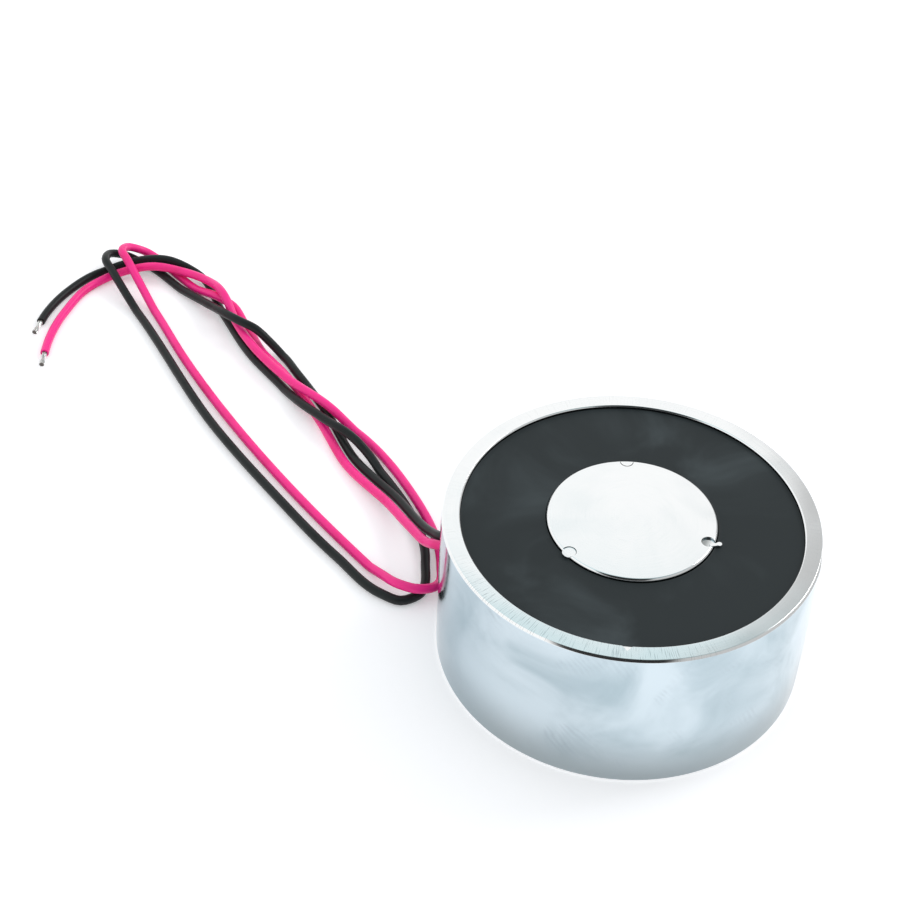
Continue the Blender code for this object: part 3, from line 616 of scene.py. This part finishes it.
def addThread(body, spec):
    # one ridge wound up the hole in the back, which reaches in to the thread's core
    clearSelection()
    bpy.ops.mesh.primitive_circle_add(vertices=3, radius=spec["ridgeRadius"], fill_type="NOTHING")
    ridge = bpy.context.active_object
    ridge.rotation_euler = (math.pi / 2, math.pi / 2, 0.0)
    ridge.location = (spec["boreRadius"] - spec["ridgeInset"], 0.0, spec["ridgeStart"])
    bpy.ops.object.transform_apply(location=True, rotation=True, scale=True)
    turns = ridge.modifiers.new("turns", "SCREW")
    turns.axis = "Z"
    turns.angle = math.radians(360.0)
    turns.screw_offset = spec["pitch"]
    turns.iterations = spec["ridgeTurns"]
    turns.steps = turns.render_steps = 40
    turns.use_merge_vertices = False
    bpy.ops.object.modifier_apply(modifier=turns.name)
    bpy.ops.object.mode_set(mode="EDIT")
    bpy.ops.mesh.select_all(action="DESELECT")
    bpy.ops.mesh.select_mode(type="EDGE")
    bpy.ops.mesh.select_non_manifold()
    bpy.ops.mesh.edge_face_add()
    bpy.ops.object.mode_set(mode="OBJECT")
    cleanNormals(ridge)
    clearSelection()
    ridge.select_set(True)
    body.select_set(True)
    bpy.context.view_layer.objects.active = body
    bpy.ops.object.join()


# The steel's colours, and where and how strongly each trace of wear and each painted shade shows.
steelSpec = {
    "level": (0.955, 0.97, 0.973),
    "plated": (0.65, 0.74, 0.79),
    "cloud": (0.36, 0.46, 0.505),
    # painted shade: the wall's colour towards the table
    "foot": (0.37, 0.42, 0.44),
    "footShadeHeight": 13.0 * mm,
    # painted shade on the wall's left side
    "leftShade": (0.32, 0.43, 0.5),
    "leftShadeFrom": (-30.0 * mm, -8.0 * mm),
    "leftShadeAmount": 0.62,
    "stroke": (0.42, 0.47, 0.48),
    "strokeAmount": 0.6,
    "strokeFront": (-29.0 * mm, -19.0 * mm),
    "strokeElsewhere": 0.12,
    "rimFrom": (40.5 * mm, 41.5 * mm),
    "ring": (0.66, 0.74, 0.76),
    "ringAmount": 0.09,
    # painted reflection of the dark resin on the rim's inner wall
    "paintedResinReflection": (0.03, 0.035, 0.037),
    "resinReflectionAmount": 0.92,
    "resinReflectionFacing": (-20.0 * mm, -5.0 * mm),
    # painted shade in the punched marks
    "dentShade": (0.2, 0.22, 0.22),
    "dentShadeAmount": 0.8,
    "dentShadeWithin": (32.5 * mm, 34.0 * mm),
    "dentShadeTop": (29.62 * mm, 29.85 * mm),
    "dentShadeBottom": (29.1 * mm, 29.3 * mm),
    "dentShadeSide": (12.8 * mm, 14.3 * mm),
    "dentShadeBeyond": 0.15,
    "print": (0.36, 0.42, 0.47),
    "printAmount": 0.5,
    "roughness": 0.08,
    "unevenness": 0.14,
}


def steelFinish(spec):
    material, tree, shader = startMaterial("groundSteel", spec["level"], 0.12, 1.0)
    place = addNode(tree, "ShaderNodeTexCoord", -1600, 0)
    apart = addNode(tree, "ShaderNodeSeparateXYZ", -1400, -200)
    link(tree, place.outputs["Object"], apart.inputs[0])
    x, y, z = apart.outputs
    facing = addNode(tree, "ShaderNodeSeparateXYZ", -1400, 200)
    link(tree, place.outputs["Normal"], facing.inputs[0])
    upright = addMath(tree, -1200, 200, "ABSOLUTE", facing.outputs["Z"], 0.0)
    wall = addRange(tree, -1000, 200, upright, 0.2, 0.6, 1.0, 0.0)
    level = addMath(tree, -1000, -550, "SUBTRACT", 1.0, wall)
    marks = useGroup(tree, smudges, -1200, 0, **{"Cloud Size": 62.0, "Speck Size": 2200.0, "Cover": 0.66})
    lines = useGroup(tree, grinding, -1200, -400, **{"Round Marks": 5200.0, "Strokes": 120.0})
    link(tree, place.outputs["Object"], marks.inputs["Place"])
    link(tree, place.outputs["Object"], lines.inputs["Place"])
    # the plating is cloudy on the wall, and the wall is painted darker towards the table: painted shade for
    # the shaded table it mirrors near the base
    base = addBlend(tree, -800, 400, wall, spec["level"], spec["plated"])
    cloudy = addProduct(tree, -800, 200, marks.outputs["Clouds"], wall)
    base = addBlend(tree, -600, 200, cloudy, base, spec["cloud"])
    low = addRange(tree, -1000, -100, z, 0.0, spec["footShadeHeight"], 1.0, 0.0)
    base = addBlend(tree, -400, 200, addProduct(tree, -800, -100, low, wall), base, spec["foot"])
    # painted shade: the wall's left side, away from the lamp, is darkened
    left = addRange(tree, -1000, -250, x, *spec["leftShadeFrom"], 1.0, 0.0)
    left = addProduct(tree, -700, -250, left, wall, spec["leftShadeAmount"])
    base = addBlend(tree, -300, 200, left, base, spec["leftShade"])
    # short strokes across the front of the ground rim, by the distance from the middle of the back
    reach = addNode(tree, "ShaderNodeVectorMath", -1200, -700, operation="LENGTH")
    link(tree, place.outputs["Object"], reach.inputs[0])
    rim = addRange(tree, -1000, -700, reach.outputs["Value"], *spec["rimFrom"])
    front = addRange(tree, -1000, -650, y, *spec["strokeFront"], 1.0, spec["strokeElsewhere"])
    strokes = addProduct(tree, -800, -550, lines.outputs["Strokes"], rim, front, level, spec["strokeAmount"])
    base = addBlend(tree, -200, 200, strokes, base, spec["stroke"])
    # turning marks on the level faces
    ringMarks = addRange(tree, -800, -400, lines.outputs["Marks"], 0.45, 0.7)
    ringMarks = addProduct(tree, -600, -350, ringMarks, level, spec["ringAmount"])
    base = addBlend(tree, -100, 200, ringMarks, base, spec["ring"])
    # painted reflection and shade: the wall above the ring, which faces the axis, is darkened as if mirroring
    # the dark resin in its recess
    inward = addNode(tree, "ShaderNodeVectorMath", -1200, -1300, operation="DOT_PRODUCT")
    link(tree, place.outputs["Normal"], inward.inputs[0])
    link(tree, place.outputs["Object"], inward.inputs[1])
    paintedResinReflection = addRange(tree, -1000, -1300, inward.outputs["Value"], *spec["resinReflectionFacing"], spec["resinReflectionAmount"], 0.0)
    base = addBlend(tree, -50, 200, paintedResinReflection, base, spec["paintedResinReflection"])
    # painted shade in the punched marks, which lie inside the pole and under its face
    inside = addRange(tree, -1000, -850, reach.outputs["Value"], *spec["dentShadeWithin"], 1.0, 0.0)
    sunk = addRange(tree, -1000, -1000, z, *spec["dentShadeTop"], 1.0, 0.0)
    above = addRange(tree, -1000, -1150, z, *spec["dentShadeBottom"])
    # painted shade: the mark on the right is darkened on its left side only
    side = addRange(tree, -900, -1100, x, *spec["dentShadeSide"], 1.0, spec["dentShadeBeyond"])
    dentShade = addProduct(tree, -800, -900, sunk, above, inside, side, spec["dentShadeAmount"])
    base = addBlend(tree, 0, 200, dentShade, base, spec["dentShade"])
    # fingerprints: close curved lines where a second set of clouds is thick
    prints = addNode(tree, "ShaderNodeTexWave", -1000, 600, wave_type="BANDS", bands_direction="DIAGONAL")
    prints.inputs["Scale"].default_value = 420.0
    prints.inputs["Distortion"].default_value = 9.0
    prints.inputs["Detail Scale"].default_value = 0.35
    link(tree, place.outputs["Object"], prints.inputs["Vector"])
    sizes = {"Cloud Size": 110.0, "Speck Size": 1500.0, "Cover": 0.46}
    patch = useGroup(tree, smudges, -1200, 600, **sizes)
    link(tree, place.outputs["Object"], patch.inputs["Place"])
    touched = addProduct(
        tree, -600, 600, prints.outputs["Fac"], patch.outputs["Clouds"], wall, spec["printAmount"])
    base = addBlend(tree, 200, 200, touched, base, spec["print"])
    link(tree, base, shader.inputs["Base Color"])
    uneven = addProduct(tree, -600, -100, marks.outputs["Clouds"], spec["unevenness"])
    link(tree, addMath(tree, -400, -100, "ADD", uneven, spec["roughness"]), shader.inputs["Roughness"])
    bump = addNode(tree, "ShaderNodeBump", -200, -300)
    bump.inputs["Strength"].default_value = 0.05
    bump.inputs["Distance"].default_value = 0.02 * mm
    link(tree, lines.outputs["Marks"], bump.inputs["Height"])
    link(tree, bump.outputs["Normal"], shader.inputs["Normal"])
    return material


body = buildBody(bodySpec)
mouth = bodySpec["radius"] - bodySpec["wall"]
addStakes(body, markSpec, mouth - bodySpec["chamberWidth"], bodySpec["height"])
addNick(body, markSpec, mouth, bodySpec["height"])
hole = addCylinder("leadHole", markSpec["holeRadius"], markSpec["holeStart"], markSpec["holeEnd"], 48)
turnToSide(hole)
useTool(body, hole, "DIFFERENCE")
cleanNormals(body)
addThread(body, bodySpec)
finishPiece(body, "ground_steel", steelFinish(steelSpec), "magnet_body")
print("body turned")


# The resin that fills the coil chamber up to just under the rim.
resinSpec = {
    "inner": 14.75 * mm,
    "outer": 29.2 * mm,
    "top": 29.3 * mm,
    "bottom": 26.2 * mm,
    "climb": 0.08 * mm,
    "climbWidth": 0.45 * mm,
    "climbSteps": ((0.4, 0.7), (0.6, 0.3)),
    "sides": 192,
}


def buildResin(spec):
    resin = addCylinder("resinRing", spec["outer"], spec["bottom"], spec["top"], spec["sides"])
    pick(resin, "FACE", lambda c, n: abs(n.z) > 0.9)
    bpy.ops.mesh.inset(thickness=spec["outer"] - spec["inner"])
    pick(resin, "FACE", lambda c, n: abs(n.z) > 0.9 and c.xy.length < spec["inner"] / 2)
    bpy.ops.mesh.bridge_edge_loops()
    # the resin climbs a little at the wall and at the pole
    pick(resin, "FACE", lambda c, n: n.z > 0.9)
    for share, drop in spec["climbSteps"]:
        bpy.ops.mesh.inset(thickness=spec["climbWidth"] * share, depth=-spec["climb"] * drop)
    pick(resin, "VERT", lambda c: c.z > spec["top"] - spec["climb"] * 1.2)
    bpy.ops.transform.translate(value=(0.0, 0.0, spec["climb"]))
    clearSelection()
    return resin


resin = buildResin(resinSpec)
resinFinish = plainFinish("matResin", (0.02, 0.026, 0.028), (0.054, 0.068, 0.073), 0.5, 55.0, 2600.0)
resinFinish.node_tree.nodes["Principled BSDF"].inputs["Specular IOR Level"].default_value = 0.2
finishPiece(resin, "potting_resin", resinFinish, "potting", sharp=50)
print("resin poured")


# The rubber bush in the side hole, with one oblong way for both leads.
bushSpec = {
    "radius": 2.7 * mm,
    "start": 29.692 * mm,
    "end": 33.3 * mm,
    "easing": 0.25 * mm,
    "wayRadius": 1.15 * mm,
}


def buildBush(spec):
    bush = addCylinder("leadBush", spec["radius"], spec["start"], spec["end"], 64)
    for level in (spec["start"], spec["end"]):
        bevelRing(bush, spec["radius"], level, spec["easing"], 4)
    way = addCylinder("bushWay", spec["wayRadius"], spec["start"] - mm, spec["end"] + mm, 48)
    for side in (1, -1):
        pick(way, "VERT", lambda c: c.y * side > 0.01 * mm)
        bpy.ops.transform.translate(value=(0.0, side * leadSpec["halfSpacing"], 0.0))
    useTool(bush, way, "DIFFERENCE")
    turnToSide(bush)
    cleanNormals(bush)
    return bush


rubber = plainFinish("bushRubber", (0.022, 0.022, 0.022), (0.04, 0.039, 0.037), 0.62, 300.0, 2600.0)
finishPiece(buildBush(bushSpec), "bush_rubber", rubber, "lead_bush")
print("bush fitted")


# The bare ends: tinned strands twisted together, pinched in the middle, cut off square.
tipSpec = {
    "radius": 0.55 * mm,
    "length": 3.75 * mm,
    "strands": 7,
    "sections": (1.0, 0.96, 0.84, 0.7, 0.66, 0.76, 0.94, 1.0, 1.0, 0.98),
    # painted shade next to the insulation's edge
    "darkStart": 0.3 * mm,
    "twist": 9.0,
    "groove": 0.78,
    "edgeStep": 0.06 * mm,
    "edgeDepth": 0.05 * mm,
    "darkEnd": 0.08 * mm,
}


def buildTip(name, spec, line):
    clearSelection()
    middle = (0.0, 0.0, 0.0)
    bpy.ops.mesh.primitive_circle_add(vertices=spec["strands"] * 4, radius=spec["radius"], fill_type="NGON")
    tip = bpy.context.active_object
    tip.name = tip.data.name = name
    bpy.ops.object.mode_set(mode="EDIT")
    # every fourth corner is a groove between two strands
    step = 2 * math.pi / spec["strands"]
    pick(tip, "VERT", lambda c: abs((math.atan2(c.y, c.x) + step / 2) % step - step / 2) < 0.05)
    bpy.ops.transform.resize(value=(spec["groove"], spec["groove"], 1.0), center_override=middle)
    bpy.ops.mesh.select_all(action="SELECT")
    last = 1.0
    for size in spec["sections"]:
        extrudeBy(spec["length"] / len(spec["sections"]))
        bpy.ops.transform.rotate(value=math.radians(spec["twist"]), orient_axis="Z", center_override=middle)
        bpy.ops.transform.resize(value=(size / last, size / last, 1.0), center_override=middle)
        last = size
    bpy.ops.mesh.inset(thickness=spec["edgeStep"], depth=-spec["edgeDepth"])
    bpy.ops.object.mode_set(mode="OBJECT")
    way = (line[-1] - line[-2]).normalized()
    tip.rotation_euler = way.to_track_quat("Z", "Y").to_euler()
    tip.location = line[-1]
    bpy.ops.object.transform_apply(location=True, rotation=True, scale=True)
    cleanNormals(tip)
    return tip


tinned = plainFinish("tinnedStrands", (0.74, 0.74, 0.72), (0.42, 0.43, 0.43), 0.24, 900.0, 4000.0, 1.0)
cutEndsAndShade = plainFinish("cutStrandsAndShade", (0.1, 0.085, 0.075), (0.2, 0.17, 0.15), 0.5, 900.0, 4000.0)
for colour, (lead, line, length, side) in leads.items():
    tip = buildTip(f"{colour}Tip", tipSpec, line)
    finishPiece(tip, "tinned_copper", tinned, f"lead_tip_{colour}", sharp=50)
    # dark where the strands were cut, and painted shade next to the insulation's edge
    tip.data.materials.append(cutEndsAndShade)
    way = (line[-1] - line[-2]).normalized()
    for face in tip.data.polygons:
        along = (face.center - line[-1]).dot(way)
        if along > tipSpec["length"] - tipSpec["darkEnd"] or along < tipSpec["darkStart"]:
            face.material_index = 1
print("ends twisted")


# What the resin hides: the coil on its bobbin and the joints of the leads.
def windingFinish():
    material, tree, shader = startMaterial("enamelledCopper", (0.55, 0.2, 0.07), 0.28)
    shader.inputs["Metallic"].default_value = 0.55
    place = addNode(tree, "ShaderNodeTexCoord", -1000, 0)
    turns = addNode(tree, "ShaderNodeTexWave", -700, 0,
                    wave_type="BANDS", bands_direction="Z", wave_profile="SIN")
    turns.inputs["Scale"].default_value = 900.0
    turns.inputs["Distortion"].default_value = 0.4
    link(tree, place.outputs["Object"], turns.inputs["Vector"])
    # painted shade: the copper is darker between the turns, where the grooves lie
    tone = addBlend(tree, -400, 100, turns.outputs["Fac"], (0.2, 0.055, 0.02), (0.62, 0.24, 0.09))
    link(tree, tone, shader.inputs["Base Color"])
    bump = addNode(tree, "ShaderNodeBump", -400, -200)
    bump.inputs["Strength"].default_value = 0.6
    bump.inputs["Distance"].default_value = 0.1 * mm
    link(tree, turns.outputs["Fac"], bump.inputs["Height"])
    link(tree, bump.outputs["Normal"], shader.inputs["Normal"])
    return material


tape = plainFinish("coilTape", (0.8, 0.6, 0.1), (0.66, 0.46, 0.06), 0.22, 120.0, 2000.0)
sleeve = plainFinish("shrunkSleeve", (0.02, 0.02, 0.02), (0.034, 0.034, 0.034), 0.5, 300.0, 2600.0)
solder = plainFinish("brightSolder", (0.66, 0.66, 0.66), (0.45, 0.46, 0.47), 0.2, 900.0, 4000.0, 1.0)
hiddenFinishes = {
    "coil_bobbin": plainFinish("bobbinNylon", (0.75, 0.73, 0.66), (0.66, 0.63, 0.54), 0.45, 120.0, 2400.0),
    "coil_winding": windingFinish(), "coil_wrap": tape, "joint_pad": tape, "joint_tape": tape,
    "sleeve_black": sleeve, "sleeve_red": sleeve, "solder_black": solder, "solder_red": solder,
    "lead_core_black": tinned, "lead_core_red": tinned,
}
for name, finish in hiddenFinishes.items():
    nodes[name].data.materials.clear()
    nodes[name].data.materials.append(finish)
print("inner pieces finished")


# The table, the room and the lamp.
stageSpec = {
    "floorSize": 6.0,
    "floorDrop": 0.02 * mm,
    "floorColour": (0.86, 0.865, 0.88),
    "floorLift": 0.3,
    "roomColour": (0.97, 0.985, 1.0),
    "roomStrength": 0.92,
    "keyPlace": (0.55, 0.75, 0.85),
    "keyAim": (0.0, 0.0, 0.015),
    "keySize": 0.5,
    "whiteBelow": 0.711,
    "tintAbove": 0.728,
    "rightFade": (-0.118, -0.085),
    "rightLevel": 0.55,
    "darkFrom": (0.86, 0.93),
    "darkLevel": 0.04,
    "highTint": (0.645, 0.79, 0.82),
    "keyPower": 4.0,
}
clearSelection()
bpy.ops.mesh.primitive_plane_add(size=stageSpec["floorSize"], location=(0.0, 0.0, -stageSpec["floorDrop"]))
table = bpy.context.active_object
table.name = "paleTable"
table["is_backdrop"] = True
tableFinish, tree, shader = startMaterial("paleTable", stageSpec["floorColour"], 0.9)
shader.inputs["Specular IOR Level"].default_value = 0.0
# the table is lifted where the camera sees it or a glossy surface mirrors it
path = addNode(tree, "ShaderNodeLightPath", -600, 200)
seen = addMath(tree, -400, 200, "MAXIMUM", path.outputs["Is Camera Ray"], path.outputs["Is Glossy Ray"])
shader.inputs["Emission Color"].default_value = (1.0, 1.0, 1.0, 1.0)
link(tree, addProduct(tree, -200, 200, seen, stageSpec["floorLift"]), shader.inputs["Emission Strength"])
table.data.materials.append(tableFinish)

world = bpy.data.worlds.new("paleRoom")
bpy.context.scene.world = world
world.use_nodes = True
tree = world.node_tree
room = tree.nodes["Background"]
room.inputs["Color"].default_value = (*stageSpec["roomColour"], 1.0)
room.inputs["Strength"].default_value = stageSpec["roomStrength"]
back = addNode(tree, "ShaderNodeBackground", 0, 200)
back.inputs["Color"].default_value = (1.0, 1.0, 1.0, 1.0)
mirror = addNode(tree, "ShaderNodeBackground", 0, 0)
path = addNode(tree, "ShaderNodeLightPath", -600, 300)
direction = addNode(tree, "ShaderNodeTexCoord", -1000, 0)
# what the bright steel mirrors: a white room with the dark place where the photographer stands
dot = addNode(tree, "ShaderNodeVectorMath", -800, 0, operation="DOT_PRODUCT")
toCamera = Vector(cameraSpec["place"]).normalized()
link(tree, direction.outputs["Generated"], dot.inputs[0])
dot.inputs[1].default_value = toCamera
dark = addRange(tree, -600, 0, dot.outputs["Value"], *stageSpec["darkFrom"], 1.0, stageSpec["darkLevel"])
# the room is white low down, tinted higher up and dimmer on the right
apart = addNode(tree, "ShaderNodeSeparateXYZ", -800, -300)
link(tree, direction.outputs["Generated"], apart.inputs[0])
high = addRange(tree, -600, -300, apart.outputs["Z"], stageSpec["whiteBelow"], stageSpec["tintAbove"])
link(tree, addBlend(tree, -300, -300, high, (1.0, 1.0, 1.0), stageSpec["highTint"]), mirror.inputs["Color"])
side = addRange(tree, -600, -500, apart.outputs["X"], *stageSpec["rightFade"], 1.0, stageSpec["rightLevel"])
link(tree, addProduct(tree, -300, -100, dark, side), mirror.inputs["Strength"])
mixA = addNode(tree, "ShaderNodeMixShader", 200, 100)
mixB = addNode(tree, "ShaderNodeMixShader", 400, 100)
link(tree, path.outputs["Is Glossy Ray"], mixA.inputs[0])
link(tree, room.outputs[0], mixA.inputs[1])
link(tree, mirror.outputs[0], mixA.inputs[2])
link(tree, path.outputs["Is Camera Ray"], mixB.inputs[0])
link(tree, mixA.outputs[0], mixB.inputs[1])
link(tree, back.outputs[0], mixB.inputs[2])
link(tree, mixB.outputs[0], tree.nodes["World Output"].inputs[0])


def addLamp(name, place, size, power, aim):
    lamp = bpy.data.lights.new(name, "AREA")
    lamp.size = size
    lamp.energy = power
    lampObject = bpy.data.objects.new(name, lamp)
    lampObject.location = place
    lampObject.rotation_euler = (Vector(place) - Vector(aim)).to_track_quat("Z", "Y").to_euler()
    bpy.context.scene.collection.objects.link(lampObject)


addLamp("keyLamp", stageSpec["keyPlace"], stageSpec["keySize"], stageSpec["keyPower"], stageSpec["keyAim"])

bpy.context.scene.view_settings.view_transform = "Standard"
print("table, room and lamp set")

low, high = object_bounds()
